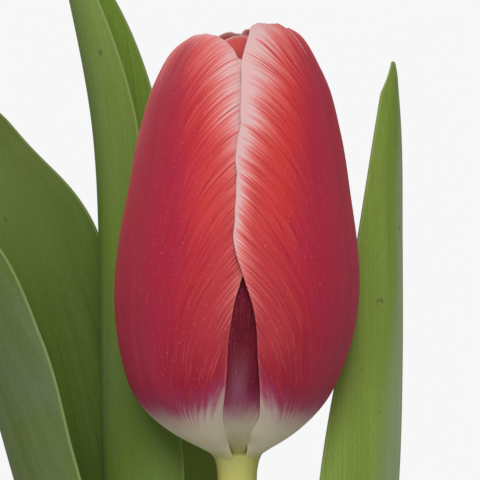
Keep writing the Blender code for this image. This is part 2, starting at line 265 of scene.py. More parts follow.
class Paint:
    """The nodes of one material, built round its Principled shader, whose even values are given by name."""

    def __init__(self, name, **even):
        self.material = bpy.data.materials.new(name)
        self.material.use_nodes = True
        self.tree = self.material.node_tree
        self.shader = self.tree.nodes["Principled BSDF"]
        for key, value in even.items():
            self.shader.inputs[key.replace("_", " ")].default_value = value

    def node(self, kind, settings=None, values=None, output=0):
        """A new node: its settings first, then the values or wires of its inputs. Returns one output."""
        made = self.tree.nodes.new(kind)
        for key, value in (settings or {}).items():
            setattr(made, key, value)
        for key, value in (values or {}).items():
            if isinstance(value, Wire):
                self.tree.links.new(value.socket, made.inputs[key])
            else:
                made.inputs[key].default_value = value
        return Wire(self, made.outputs[output])

    def maths(self, operation, *values):
        return self.node("ShaderNodeMath", {"operation": operation}, dict(enumerate(values)))

    def value(self, name):
        """The number that the mesh holds for each point under this name."""
        return self.node("ShaderNodeAttribute", {"attribute_name": name}, output=2)

    def place(self):
        """The point's own place in its piece, in metres."""
        return self.node("ShaderNodeTexCoord", output=3)

    def vector(self, x, y, z):
        return self.node("ShaderNodeCombineXYZ", values={0: x, 1: y, 2: z})

    def noise(self, where, scale, detail=2.0, roughness=0.5):
        values = {"Vector": where, "Scale": scale, "Detail": detail, "Roughness": roughness}
        return self.node("ShaderNodeTexNoise", values=values)

    def ease(self, value, low, high, start=0.0, end=1.0):
        """start where value is below low, end where it is above high, with a smooth step between."""
        values = {0: value, 1: low, 2: high, 3: start, 4: end}
        return self.node("ShaderNodeMapRange", {"interpolation_type": "SMOOTHSTEP"}, values)

    def color(self, factor, first, second):
        """The first colour where the factor is 0, the second where it is 1, and a mix between."""
        settings = {"data_type": "RGBA", "blend_type": "MIX", "clamp_factor": True}
        values = {0: factor}
        for socket, tint in ((6, first), (7, second)):
            values[socket] = tint if isinstance(tint, Wire) else (*tint, 1.0)
        return self.node("ShaderNodeMix", settings, values, output=2)

    def bump(self, height, distance):
        """The normals of a relief whose height of 1 stands this many millimetres off the surface."""
        values = {"Height": height, "Distance": distance * MM, "Strength": 1.0}
        return self.node("ShaderNodeBump", values=values)

    def finish(self, **wires):
        """Joins wires to the shader's inputs of these names and returns the material."""
        for key, wire in wires.items():
            self.tree.links.new(wire.socket, self.shader.inputs[key.replace("_", " ")])
        return self.material


def petal_paint(name, high, low, band, seed, deep=(0.38, 0.015, 0.050), purple=0.0, foot=1.3,
                cream_shade=1.0, span=(4, 44), blush=0.35, **even):
    """A petal's skin. Veins follow the fan coordinate 'vein', so that streaks leave the midrib and arch to
    the margins. The red goes from low to high over the heights of span, and to deep away from the margins.
    It grows paler towards them, streak by streak, over a band whose width is given for the lower and the
    upper petal, with a blush beside it. At the base it turns to cream, which is greener below the height
    of foot and multiplied by cream_shade, a painted shade for a base that lies in shadow. purple is how dark
    the red turns just above the cream."""
    paint = Paint(name, Roughness=0.5, Specular_IOR_Level=0.15, Sheen_Weight=0.09, Sheen_Roughness=0.5,
                  **even)
    paint.shader.inputs["Sheen Tint"].default_value = (1.0, 0.35, 0.45, 1.0)
    vein = paint.value("vein")
    rise = paint.value("rise")
    edge = paint.value("edge")
    height = paint.value("height")
    rib = paint.value("rib")
    streak = paint.noise(paint.vector(vein * 290.0, rise * 0.12, seed), 1.0, 2.0, 0.6)
    fine = paint.noise(paint.vector(vein * 620.0, rise * 0.25, seed + 7.0), 1.0, 1.0, 0.6)
    broad = paint.noise(paint.vector(vein * 80.0, rise * 0.09, seed + 3.0), 1.0, 2.0, 0.5)
    cloud = paint.noise(paint.place(), 160.0, 3.0, 0.6)
    lines = (streak - 0.5) * 1.5 + (fine - 0.5) * 0.7 + (broad - 0.5) * 0.7
    red = paint.color(paint.ease(height, *span), low, high)
    red = paint.color(paint.ease(height, 18.0, 11.0) * purple, red, (0.25, 0.018, 0.045))
    red = paint.color(paint.ease(lines, 0.02, -0.4) * 0.62, red, (0.22, 0.004, 0.03))
    red = paint.color(paint.ease(lines, 0.0, 0.4) * 0.36, red, (0.66, 0.12, 0.13))
    blushing = paint.ease(edge, 8.0, 2.0) * paint.ease(height, 9.0, 20.0) * blush
    red = paint.color(blushing, red, (0.58, 0.080, 0.075))
    red = paint.color(paint.ease(edge, 5.0, 12.0) * 0.75, red, deep)
    red = paint.color(paint.ease(cloud, 0.35, 0.75) * 0.2, red, (0.42, 0.02, 0.07))
    width = paint.ease(height, 34.0, 62.0, band[0], band[1])
    fall = paint.maths("EXPONENT", (edge / width) ** 1.4 * -1.0)
    strength = paint.ease(height, 16.0, 42.0, 0.12, 1.1)
    rim = paint.ease(edge, 0.35, 0.05) * paint.ease(height, 18.0, 9.0, 0.08, 0.3)
    rim = rim + paint.ease(edge, 1.1, 0.3) * paint.ease(height, 56.0, 59.0) * 0.7
    pale = fall * strength + lines * (0.2 + fall * (1.5 - fall) * strength * 2.0)
    inner_rib = paint.ease(rib, 3.5, 0.4) * paint.ease(height, 7.0, 14.0) * paint.ease(height, 42.0, 26.0)
    pale = pale + inner_rib * (lines * 0.25 + 0.04) + rim
    skin = paint.color(paint.ease(pale, 0.02, 0.52), red, (0.74, 0.17, 0.155))
    skin = paint.color(paint.ease(pale, 0.38, 0.95), skin, (0.72, 0.45, 0.44))
    low_rib = paint.ease(rib, 2.0, 0.3) * paint.ease(height, 17.0, 9.0) * purple
    skin = paint.color(low_rib, skin, (0.30, 0.10, 0.15))
    speck = paint.noise(paint.place(), 3000.0, 1.0, 0.5)
    skin = paint.color(paint.ease(speck, 0.64, 0.76) * 0.2, skin, (0.78, 0.26, 0.27))
    margin_lift = paint.maths("EXPONENT", edge * -0.45) * 3.4
    base_line = height + lines * 1.3 + (broad - 0.5) * 4.0 + (cloud - 0.5) * 3.0 - margin_lift
    skin = paint.color(paint.ease(base_line, 11.0, 6.2) * 0.6, skin, (0.36, 0.06, 0.16))
    # cream_shade below 1 is painted shade on the cream of a petal whose base lies in shadow.
    ivory = (0.66 * cream_shade, 0.60 * cream_shade, 0.42 * cream_shade)
    cream = paint.color(paint.ease(height, -0.4, foot), (0.50, 0.49, 0.15), ivory)
    cream = paint.color(paint.ease(lines, -0.3, 0.5) * 0.3, cream, (0.70, 0.64, 0.52))
    cream = paint.color(paint.ease(height, 3.0, 7.0) * 0.45, cream, (0.56, 0.38, 0.38))
    skin = paint.color(paint.ease(base_line, 8.2, 3.6), skin, cream)
    rough = 0.5 + (fine - 0.5) * 0.12
    relief = streak * 0.8 + fine * 0.35 + cloud * 0.1
    return paint.finish(Base_Color=skin, Roughness=rough, Normal=paint.bump(relief, 0.08))


def leaf_paint(name, leaf_light_gain, seed, near, wax_amount, far_wax_and_sheen, lit_rise, light, margin_shade=0.0):
    """A leaf's skin: fine veins run the length of the blade, small brown specks lie on both faces, and the
    very margin is a thin pale line. Its greens are scaled by the gain, a painted light and shade that makes
    each leaf as light or dark as the light falling on it. The inner face is greener and grows to the light
    colour over the stretch of lit_rise: painted light where that face is lit. The outer face has a grey bloom
    of wax by wax_amount, and by far_wax_and_sheen on the half that lies across the keel from the near one (1
    or -1): wax with a painted sheen, the pale grey of the blade turning away at a grazing angle. It darkens
    towards both margins by margin_shade, a painted shade where the blade turns from the light."""
    paint = Paint(name, Roughness=0.55, Specular_IOR_Level=0.18)
    across = paint.value("across")
    rise = paint.value("rise")
    edge = paint.value("edge")
    outside = paint.ease(paint.value("skin"), 0.1, -0.1)
    fine = paint.noise(paint.vector(across * 4.2, rise * 0.03, seed), 1.0, 3.0, 0.65)
    broad = paint.noise(paint.vector(across * 0.35, rise * 0.012, seed + 5.0), 1.0, 2.0, 0.5)
    short = paint.noise(paint.vector(across * 7.0, rise * 0.9, seed + 9.0), 1.0, 2.0, 0.6)
    cloud = paint.noise(paint.place(), 55.0, 4.0, 0.6)
    lines = (fine - 0.5) * 0.7 + (broad - 0.5) * 0.5 + (short - 0.5) * 0.5

    # The gain scales each leaf's colours: painted light and shade for how brightly that leaf is lit.
    def tint(red, green, blue):
        return (red * leaf_light_gain, green * leaf_light_gain, blue * leaf_light_gain)

    veins = paint.ease(lines, -0.35, 0.35)
    inner = paint.color(veins, tint(0.070, 0.124, 0.012), tint(0.127, 0.200, 0.026))
    # Painted light: the inner face lightens to the light colour over this stretch, where that face is lit.
    inner = paint.color(paint.ease(rise, *lit_rise), inner, light)
    veins = paint.ease(lines, -0.35, 0.4)
    outer = paint.color(veins, tint(0.096, 0.146, 0.018), tint(0.158, 0.218, 0.036))
    keel = paint.maths("ABSOLUTE", across)
    keel_wide = paint.ease(rise, 115.0, 150.0, 7.5, 3.2) * paint.ease(rise, 178.0, 160.0, 0.3, 1.0)
    wax = paint.ease(cloud + lines * 0.25, 0.2, 0.85) * wax_amount
    outer = paint.color(wax, outer, tint(0.16, 0.205, 0.13))
    # Painted shade: darker away from the keel towards both margins, where the blade turns from the light.
    outer = paint.color(paint.ease(keel, 7.0, 15.0) * margin_shade, outer, tint(0.055, 0.100, 0.006))
    # Wax and painted sheen: pale grey on the keel and the far half, where the blade turns away at a grazing
    # angle.
    far = paint.ease(across * near / keel_wide, 1.2, 0.1) * (0.6 + cloud * 0.7) * far_wax_and_sheen
    outer = paint.color(far, outer, tint(0.23, 0.28, 0.17))
    skin = paint.color(outside, inner, outer)
    speck = paint.noise(paint.place(), 480.0, 1.0, 0.4)
    skin = paint.color(paint.ease(speck, 0.745, 0.79) * 0.6, skin, (0.095, 0.085, 0.03))
    skin = paint.color(paint.ease(edge, 0.4, 0.05) * 0.7, skin, (0.26, 0.33, 0.10))
    rough = 0.55 + (cloud - 0.5) * 0.2
    relief = fine * 0.6 + broad * 0.5 + short * 0.5
    return paint.finish(Base_Color=skin, Roughness=rough, Normal=paint.bump(relief, 0.10))


def stem_paint():
    """The stem: smooth and waxy, yellow-green under the bloom and greener lower down, with faint length
    lines."""
    paint = Paint("stem_skin", Roughness=0.42, Specular_IOR_Level=0.4)
    turn = paint.value("turn")
    rise = paint.value("rise")
    fine = paint.noise(paint.vector(turn, rise * 0.02, 2.0), 1.0, 3.0, 0.6)
    cloud = paint.noise(paint.place(), 90.0, 3.0, 0.55)
    low = paint.color(fine, (0.17, 0.24, 0.06), (0.27, 0.34, 0.11))
    high = paint.color(fine, (0.45, 0.44, 0.09), (0.55, 0.53, 0.135))
    skin = paint.color(paint.ease(rise, BLOOM_BASE - 60.0, BLOOM_BASE - 4.0), low, high)
    skin = paint.color(paint.ease(cloud, 0.45, 0.8) * 0.25, skin, (0.62, 0.60, 0.36))
    rough = 0.38 + cloud * 0.14
    return paint.finish(Base_Color=skin, Roughness=rough, Normal=paint.bump(fine + cloud * 0.3, 0.08))


def glaze_paint():
    """An ivory glaze: slightly darker where it thins over the throwing rings and the lip, with a few iron
    specks, on a bare buff foot."""
    paint = Paint("ivory_glaze", Roughness=0.2, Coat_Weight=0.6, Coat_Roughness=0.08, Specular_IOR_Level=0.5)
    height = paint.value("rise")
    place = paint.place()
    cloud = paint.noise(place, 28.0, 4.0, 0.55)
    speck = paint.noise(place, 620.0, 1.0, 0.4)
    grain = paint.noise(place, 1800.0, 3.0, 0.7)
    glaze = paint.color(paint.ease(cloud, 0.3, 0.7), (0.74, 0.72, 0.66), (0.83, 0.815, 0.77))
    thin = paint.value("thin")
    glaze = paint.color(thin * 0.55, glaze, (0.62, 0.53, 0.40))
    glaze = paint.color(paint.ease(speck, 0.735, 0.77) * 0.7, glaze, (0.20, 0.12, 0.07))
    clay = paint.color(grain, (0.48, 0.38, 0.28), (0.62, 0.52, 0.41))
    foot = paint.ease(height + (cloud - 0.5) * 1.2, 3.0, 2.3)
    skin = paint.color(foot, glaze, clay)
    rough = paint.ease(foot, 0.0, 1.0, 0.16, 0.85) + (cloud - 0.5) * 0.08
    coat = (1 - foot) * 0.6
    relief = cloud * 0.6 + grain * foot * 0.5
    return paint.finish(Base_Color=skin, Roughness=rough, Coat_Weight=coat, Normal=paint.bump(relief, 0.25))


def water_paint():
    """Clear water with a faint green tint."""
    paint = Paint("clear_water", Roughness=0.02, IOR=1.333, Transmission_Weight=1.0)
    ripple = paint.noise(paint.place(), 70.0, 2.0, 0.5)
    tint = paint.color(ripple, (0.86, 0.93, 0.90), (0.93, 0.97, 0.95))
    return paint.finish(Base_Color=tint, Normal=paint.bump(ripple, 0.15))


def pistil_paint():
    """The ovary is pale green with faint length lines, and the stigma on it is creamy and grainy."""
    paint = Paint("pistil_skin", Roughness=0.5, Specular_IOR_Level=0.35)
    rise = paint.value("rise")
    line = paint.noise(paint.vector(paint.value("turn"), rise * 0.05, 1.0), 1.0, 2.0, 0.5)
    grain = paint.noise(paint.place(), 2200.0, 2.0, 0.6)
    ovary = paint.color(line, (0.38, 0.45, 0.16), (0.55, 0.60, 0.28))
    skin = paint.color(paint.ease(rise, 19.5, 21.5), ovary, (0.74, 0.68, 0.40))
    skin = paint.color(grain * 0.3, skin, (0.80, 0.78, 0.55))
    return paint.finish(Base_Color=skin, Normal=paint.bump(grain + line, 0.08))


def stamen_paint():
    """A pale stalk under a dark violet anther dusted with pollen."""
    paint = Paint("stamen_skin", Roughness=0.75, Specular_IOR_Level=0.3)
    rise = paint.value("rise")
    grain = paint.noise(paint.place(), 2600.0, 2.0, 0.6)
    anther = paint.color(paint.ease(grain, 0.45, 0.7), (0.035, 0.02, 0.05), (0.12, 0.09, 0.10))
    stalk = paint.color(grain, (0.55, 0.52, 0.36), (0.66, 0.63, 0.46))
    skin = paint.color(paint.ease(rise, 10.6, 11.6), stalk, anther)
    return paint.finish(Base_Color=skin, Normal=paint.bump(grain, 0.15))


def floor_paint():
    """A matt pale grey with slow, faint clouds."""
    paint = Paint("pale_floor", Roughness=0.7, Specular_IOR_Level=0.2)
    cloud = paint.noise(paint.place(), 3.0, 3.0, 0.5)
    tint = paint.color(cloud, (0.66, 0.66, 0.66), (0.70, 0.70, 0.70))
    return paint.finish(Base_Color=tint)


# ---------------------------------------------------------------------------
# Bloom
# ---------------------------------------------------------------------------

# Radius and height of the closed bloom's outside, from the petals' feet to where their tips meet
BLOOM_PROFILE = np.array([
    (3.3, -0.5),
    (3.8, 0.2),
    (4.8, 0.9),
    (6.5, 1.85),
    (9.2, 3.6),
    (13.5, 7.9),
    (16.1, 14.3),
    (17.4, 23.0),
    (17.1, 29.8),
    (15.9, 38.0),
    (14.35, 46.6),
    (12.2, 53.8),
    (9.0, 59.0),
    (6.4, 60.9),
    (4.6, 61.7),
    (2.5, 62.2),
    (0.9, 62.4),
])
PROFILE_SHARES, PROFILE_LENGTH = along(BLOOM_PROFILE)
# How far the bloom leans to the right at heights above its foot
LEAN_HEIGHTS = (0.0, 3.0, 20.0, 62.5)
LEAN_SHIFTS = (0.0, -0.4, 0.0, 0.8)
PETAL_ROWS = 300
PETAL_COLUMNS = 130
PETAL_THICKNESS = 0.6
MARGIN_THICKNESS = 0.22
FOOT_THICKNESS = 0.4
SPIRAL_LIFT = 0.75
INNER_RING_BASE = 0.9
INNER_RING_TOP = 0.9
FULL_STEP_HEIGHT = 10.0

# Half of each petal's angle round the bloom at heights above its foot
ANGLE_HEIGHTS = (0.4, 2.5, 5.0, 8.0, 12.0, 15.2, 18.8, 22.5, 25.2, 28.7, 38.0, 46.8, 52.0, 56.5, 60.0)
RIGHT_ANGLES = (39.0, 44.5, 43.5, 46.5, 49.9, 52.4, 54.3, 57.2, 60.4, 64.2, 65.7, 64.4, 64.0, 62.2, 57.8)
LEFT_ANGLES = (42.0, 45.2, 46.0, 48.2, 49.6, 49.6, 50.6, 52.6, 55.2, 58.5, 59.5, 59.5, 58.8, 58.0, 56.0)
BACK_ANGLES = (42.0, 46.5, 48.0, 50.5, 53.0, 56.0, 59.5, 63.0, 65.5, 66.5, 67.0, 66.5, 65.5, 63.0, 60.0)
INNER_ANGLES = (46.0, 48.5, 50.0, 51.5, 53.0, 53.6, 54.2, 54.8, 55.0, 55.0, 55.0, 54.2, 53.2, 51.5, 48.0)


def on_profile(share):
    """Radius and height of the bloom's outside at a share of its length from the base."""
    place = through(PROFILE_SHARES, BLOOM_PROFILE, np.ravel(share))
    return place.reshape(*np.shape(share), 2)


def petal(name, bearing, angles, reach, material, inner=0.0, power=4.0, drop=0.085, crown=0.0, nick=None,
          crease=0.0, wave=0.5, top_band=3.0, nod=0.0, twist=0.0, seed=0.0):
    """One petal. Its middle surface goes up the bloom's profile and round the bloom to both sides of its
    bearing by the half angle at each height. Its top edge falls away to both margins by drop * |u|**power,
    where u runs from -1 to 1 across it, with one bell-shaped nick (place, width, depth). Outer petals step
    out towards the first margin and in towards the other, inner petals lie a step inside. The midrib is a
    shallow groove, a crease steps down past it near the tip, and the margins wave and, on outer petals,
    curl in. Near the tip the petal stands higher by the crown, turns round the bloom by the twist and leans
    to the right by the nod. top_band is what the top edge adds to its distance before it counts as pale."""
    v = np.linspace(0, 1, PETAL_ROWS)[:, None]
    t = np.linspace(-1, 1, PETAL_COLUMNS)[None, :]
    u = t * (1.4 - 0.4 * t**2)
    top_edge = 1 - drop * np.abs(u) ** power + 0.004 * waves(u * 6.0, seed)
    if nick:
        top_edge = top_edge - nick[2] * np.exp(-(((u - nick[0]) / nick[1]) ** 2))
    end = reach * top_edge
    share = v * end
    place = on_profile(share)
    step = 0.002
    ahead = unit(on_profile(share + step) - on_profile(share - step))
    outward = np.stack([ahead[..., 1], -ahead[..., 0]], axis=-1)
    place[..., 1] += (crown + 0.35 * u * crown) * ease(0.82, 0.905, share)
    height = place[..., 1]
    length = share * PROFILE_LENGTH
    half = through(ANGLE_HEIGHTS, angles, height)
    flutter = wave * waves(length * 0.5, seed) * ease(24, 36, height) * np.sign(u) * np.abs(u) ** 5
    angle = np.radians(bearing + u * half + flutter + twist * ease(0.78, 0.9, share))
    width = np.maximum(place[..., 0], 2.0) * np.radians(half)
    off_middle = u * width
    margin = np.minimum((1 - np.abs(u)) * width, (end - share) * PROFILE_LENGTH)
    band = np.minimum((1 - np.abs(u)) * width, (end - share) * PROFILE_LENGTH * 2.5 + top_band)
    rise = np.clip(height / FULL_STEP_HEIGHT, 0, 1)
    if inner:
        lift = -(INNER_RING_BASE + (inner - INNER_RING_BASE) * rise)
        lift = lift + (inner - INNER_RING_TOP) * ease(0.84, 0.93, share)
    else:
        lift = -SPIRAL_LIFT * rise * u**3
    groove = np.exp(-((off_middle / 1.3) ** 2)) - 0.6 * np.exp(-((off_middle / 3.4) ** 2))
    relief = -0.12 * groove * ease(4, 16, length)
    curl = (0.3 * np.sign(u) - 0.9) * np.exp(-margin / 0.9) * ease(0.5, 4, length) * ease(26, 16, height)
    curl = curl * (not inner)
    swell = 0.11 * waves(length * 0.12 + u * 1.3, seed + 1.0) * ease(6, 20, length)
    top = ease(PROFILE_LENGTH * reach - 8.0, PROFILE_LENGTH * reach, length)
    past = off_middle + 0.2 * width * top
    fold = -crease * ease(-0.2, 0.5, past) * np.exp(-np.maximum(past, 0) / 5.0) * top
    line = np.exp(-(((past + 0.15) / 0.35) ** 2)) * min(1.0, 2 * crease)
    line = line * ease(PROFILE_LENGTH * reach - 7.5, PROFILE_LENGTH * reach - 4.0, length)
    lift = lift + relief + curl + swell + fold
    place = place + outward * (lift - PETAL_THICKNESS / 2)[..., None]
    radius = np.maximum(place[..., 0], 0.6)
    drift = through(LEAN_HEIGHTS, LEAN_SHIFTS, place[..., 1]) + nod * ease(0.8, 0.96, share)
    middle = np.stack(
        [radius * np.sin(angle) + drift, -radius * np.cos(angle), BLOOM_BASE + place[..., 1]], axis=-1
    )
    body = ease(0.0, 2.5, margin)
    thickness = MARGIN_THICKNESS + (PETAL_THICKNESS - MARGIN_THICKNESS) * body
    thickness = thickness + (FOOT_THICKNESS - thickness) * ease(2.0, 0.0, length)
    ripe = np.clip(share / reach, 0, 1)
    spread = np.abs(u) / np.sqrt(1 + 0.7 * u**2) * np.exp(-0.9 * ripe - 2.2 * ripe**4)
    values = {
        "vein": np.sign(u) * np.cbrt(spread + 0.002),
        "rise": length,
        "edge": band * (1 - 0.95 * line),
        "height": height,
        "rib": np.abs(off_middle),
    }
    stand_for(sheet_piece(name, middle, thickness / 2, material, values), name)


def make_petals():
    """Three outer and three inner petals. The two inner ones at the back are thin and lit through, and their
    red turns pale pink-tan high up and away from the margins: painted light for the light that comes through.
    """
    reds = dict(high=(0.66, 0.040, 0.034), low=(0.30, 0.002, 0.026))
    # shade is painted shade: the front inner petal lies in the wedge between the outer petals' margins, so
    # its red darkens to this colour below its span and away from its margins, and cream_shade darkens its
    # cream.
    shade = (0.11, 0.001, 0.012)
    right = petal_paint("petal_right_skin", band=(1.45, 5.0), seed=11.0, **reds)
    left = petal_paint("petal_left_skin", band=(1.8, 5.6), seed=23.0, **reds)
    front = petal_paint("petal_front_skin", high=(0.64, 0.09, 0.07), low=shade, deep=shade, band=(0.25, 1.2),
                        seed=41.0, purple=0.7, foot=3.6, cream_shade=0.85, span=(32, 54), blush=0.0)
    # Painted light: the back inner petals' colours are raised to pale pink-tan, standing for light that comes
    # through their thin tips.
    inside = petal_paint("petal_inner_lit_skin", high=(0.90, 0.42, 0.34), low=(0.24, 0.008, 0.03),
                         deep=(0.86, 0.34, 0.28), band=(0.3, 1.6), seed=47.0, span=(40, 56),
                         Subsurface_Weight=0.6, Subsurface_Scale=0.002)
    petal("outer_petal_right", 64.0, RIGHT_ANGLES, 0.915, right, power=7.0, drop=0.03, crown=1.15,
          nick=(-0.2, 0.06, 0.014), crease=0.9, wave=1.0, top_band=9.0, seed=1.3)
    petal("outer_petal_left", -54.0, LEFT_ANGLES, 0.91, left, drop=0.10, power=2.75, crown=-0.2,
          nick=(0.88, 0.03, 0.008), wave=0.4, seed=2.1)
    petal("outer_petal_back", 188.0, BACK_ANGLES, 0.905, left, power=4.5, seed=3.4)
    petal("inner_petal_front", 3.0, INNER_ANGLES, 0.95, front, inner=1.55, power=2.0, drop=0.11, crown=-0.8,
          top_band=0.0, seed=4.2)
    petal("inner_petal_back_right", 123.0, INNER_ANGLES, 0.91, inside, inner=2.25, power=2.0, drop=0.12,
          crown=2.6, top_band=0.0, nod=-3.0, twist=25.0, seed=5.6)
    petal("inner_petal_back_left", -117.0, INNER_ANGLES, 0.905, inside, inner=3.1, power=2.0, drop=0.12,
          crown=2.5, top_band=0.0, nod=3.8, twist=-28.0, seed=6.1)


def make_pistil(material):
    """A three-sided ovary that swells and narrows, under a stigma of three spreading lobes."""
    heights = np.array([0.3, 0.6, 1.6, 4.5, 10.0, 17.0, 20.0, 21.2, 22.4, 23.3, 23.9, 24.0])
    widths = np.array([0.7, 0.95, 0.95, 1.9, 2.65, 2.4, 1.8, 2.1, 2.8, 2.6, 1.4, 0.6])
    fine = np.concatenate([np.linspace(0.3, 20.0, 40), np.linspace(20.1, 24.0, 40)])
    radii = through(heights, widths, fine)
    lobes = 0.06 + 0.14 * ease(20.0, 22.4, fine)
    middles = np.stack([np.zeros_like(fine), np.zeros_like(fine), BLOOM_BASE + fine], axis=1)
    rings = round_rings(middles, radii, 48, lobes[:, None])
    turn = np.linspace(0, 12, 48)
    piece = ring_piece("pistil", rings, material, {"rise": fine[:, None], "turn": turn[None, :]})
    stand_for(piece, "pistil")


def make_stamens(material):
    """Each stamen is a thin stalk that leans out from the receptacle, and a two-lobed anther on its end."""
    heights = np.array([0.3, 1.0, 6.0, 10.8, 11.4, 12.2, 14.0, 17.5, 20.5, 21.6, 22.0])
    widths = np.array([0.3, 0.34, 0.48, 0.5, 0.8, 1.15, 1.4, 1.35, 1.05, 0.6, 0.2])
    fine = np.linspace(0.3, 22.0, 70)
    radii = through(heights, widths, fine)
    spread = 1.75 + 4.45 * np.clip((fine - 1.0) / 10.0, 0, 1)
    lobes = 0.16 * ease(11.0, 13.0, fine)
    for index in range(6):
        bearing = math.radians(60.0 * index)
        aside = spread * math.sin(bearing)
        middles = np.stack([aside, -spread * math.cos(bearing), BLOOM_BASE + fine], axis=1)
        rings = round_rings(middles, radii, 24, lobes[:, None], 2)
        name = f"stamen_{index + 1}"
        piece = ring_piece(name, rings, material, {"rise": fine[:, None]})
        stand_for(piece, name)


# ---------------------------------------------------------------------------
# Stem and leaves
# ---------------------------------------------------------------------------

LOW_STEM_RADIUS = 3.3


def stem_middle(height):
    """The stem's middle line: a parabola that leans off the vase's axis below the neck, upright above it."""
    low = np.clip(1.0 - height / 110.0, 0, 1)
    return np.stack([7.0 * low**2, 4.0 * low**2, height], axis=-1)


def make_stem(material):
    """Level rings up the stem's line, with five faint ribs. It narrows to the bloom, flares into the
    receptacle under the petals and closes in a low dome between their feet."""
    dome_radius = 3.45
    dome_height = 1.3
    stations = (STEM_LOW[2], 60.0, 100.0, 180.0, 196.0, 198.0, 199.2, BLOOM_BASE)
    widths = (3.35, LOW_STEM_RADIUS, 3.2, 2.9, 2.8, 2.9, 3.15, dome_radius)
    fine = np.concatenate([np.linspace(STEM_LOW[2] + 0.4, 190, 150), np.linspace(190.5, BLOOM_BASE, 50)])
    radii = through(stations, widths, fine)
    bend = np.linspace(0.15, 1.45, 12)
    fine = np.concatenate([fine, BLOOM_BASE + dome_height * np.sin(bend)])
    radii = np.concatenate([radii, dome_radius * np.cos(bend)])
    steps = 64
    rings = round_rings(stem_middle(fine), radii, steps, 0.012, 5)
    turn = np.abs(np.linspace(-8, 8, steps))
    piece = ring_piece("stem", rings, material, {"rise": fine[:, None], "turn": turn[None, :]})
    stand_for(piece, "stem")


# Each leaf's stations along its keel: x, y, z of the keel, bearing in plan that the inner face looks along
# (degrees from +X towards +Y), half of the blade's width laid flat, radius of the channel it is bent to
LEAF_LEFT = (
    (-2.8, 2.0, 60, -15, 7.7, 4.4),
    (-5.2, 2.4, 80, -12, 10.0, 6.2),
    (-9.8, 2.6, 104, -6, 12.5, 9.0),
    (-13.6, 3.2, 120, 0, 14.0, 11.0),
    (-24.0, 10.0, 160, -4, 18.0, 13.5),
    (-33.2, 18.0, 196, -14, 22.5, 15.5),
    (-37.8, 20.6, 212, -18, 25.5, 16.5),
    (-43.9, 21.4, 227, -18, 26.5, 17.0),
    (-49.4, 20.0, 239, -18, 22.5, 14.5),
    (-54.0, 18.0, 248, -17, 14.5, 11.0),
    (-58.5, 16.0, 259, -16, 0.8, 5.0),
)
LEAF_TALL = (
    (-3.3, 2.9, 102, -40, 7.7, 4.4),
    (-6.2, 5.6, 120, -35, 9.5, 5.8),
    (-12.8, 12.0, 150, -25, 14.0, 8.5),
    (-17.3, 16.5, 175, -18, 18.5, 11.0),
    (-19.7, 20.4, 196, -14, 21.5, 11.8),
    (-20.4, 24.1, 210, -13, 17.0, 10.2),
    (-20.8, 25.9, 225, -12, 14.8, 9.5),
    (-22.3, 26.4, 250, -10, 13.0, 8.5),
    (-25.7, 26.5, 268, -10, 9.0, 7.0),
    (-30.4, 28.0, 286, -10, 0.8, 4.0),
)
LEAF_RIGHT = (
    (4.85, 1.07, 80, 190, 7.7, 4.4),
    (7.6, 1.8, 100, 188, 10.0, 6.2),
    (11.2, 2.8, 120, 184, 12.0, 8.0),
    (18.6, 5.5, 160, 174, 14.5, 10.5),
    (23.3, 9.0, 196, 168, 15.0, 10.5),
    (24.1, 12.0, 212, 166, 12.2, 9.0),
    (24.3, 13.0, 231, 166, 9.2, 8.0),
    (24.2, 13.0, 247, 168, 6.0, 6.0),
    (23.5, 13.0, 257.5, 168, 2.6, 4.0),
)
LEAF_ROWS = 240
LEAF_COLUMNS = 90
LEAF_THICKNESS = 0.8
LEAF_MARGIN = 0.3
KEEL_HEIGHT = 0.35


def make_leaf(name, stations, material, seed, waist=0.0):
    """A leaf's blade. Across the keel it follows an arc of the channel's radius, whose middle stands off the
    keel towards the side the inner face looks to. The keel is a low ridge, the blade ripples a little, and
    its second margin draws in by the waist near the tip."""
    table = np.array(stations, float)
    shares, length = along(table[:, :3])
    v = np.linspace(0, 1, LEAF_ROWS)
    t = np.linspace(-1, 1, LEAF_COLUMNS)
    u = t * (1.3 - 0.3 * t**2)
    keel = through(shares, table[:, :3], v)
    bearing = np.radians(through(shares, table[:, 3], v))
    blunt = np.sqrt(np.clip((1.004 - v) / 0.03, 0, 1))
    half_width = np.maximum(through(shares, table[:, 4], v), 1.4) * blunt + 0.15
    channel = through(shares, table[:, 5], v)
    tangent = unit(np.gradient(keel, v, axis=0))
    inward = np.stack([np.cos(bearing), np.sin(bearing), np.zeros_like(bearing)], axis=1)
    inward = unit(inward - tangent * (inward * tangent).sum(axis=1, keepdims=True))
    side = np.cross(tangent, inward)
    drawn_in = waist * np.exp(-(((v - 0.88) / 0.035) ** 2))[:, None] * (u > 0)
    span = half_width[:, None] - drawn_in
    across = u[None, :] * span
    turn = across / channel[:, None]
    ripple = 0.25 * waves(v[:, None] * 11.0 + u[None, :] * 1.2, seed) * np.abs(u[None, :]) ** 2
    ripple = ripple * ease(0.15, 0.5, v[:, None])
    reach = channel[:, None] - ripple
    out = (reach * np.sin(turn))[..., None] * side[:, None]
    lift = (channel[:, None] - reach * np.cos(turn))[..., None] * inward[:, None]
    middle = keel[:, None] + out + lift
    ridge = -KEEL_HEIGHT * np.exp(-((across / 0.8) ** 2)) * ease(1.0, 0.6, v[:, None])
    middle = middle + ridge[..., None] * inward[:, None]
    to_margin = span * (1 - np.abs(u[None, :]))
    to_margin = np.minimum(to_margin, (1.003 - v[:, None]) * length)
    thickness = LEAF_MARGIN + (LEAF_THICKNESS - LEAF_MARGIN) * ease(0.0, 2.2, to_margin)
    values = {"across": across, "rise": v[:, None] * length, "edge": to_margin}
    stand_for(sheet_piece(name, middle, thickness / 2, material, values), name)


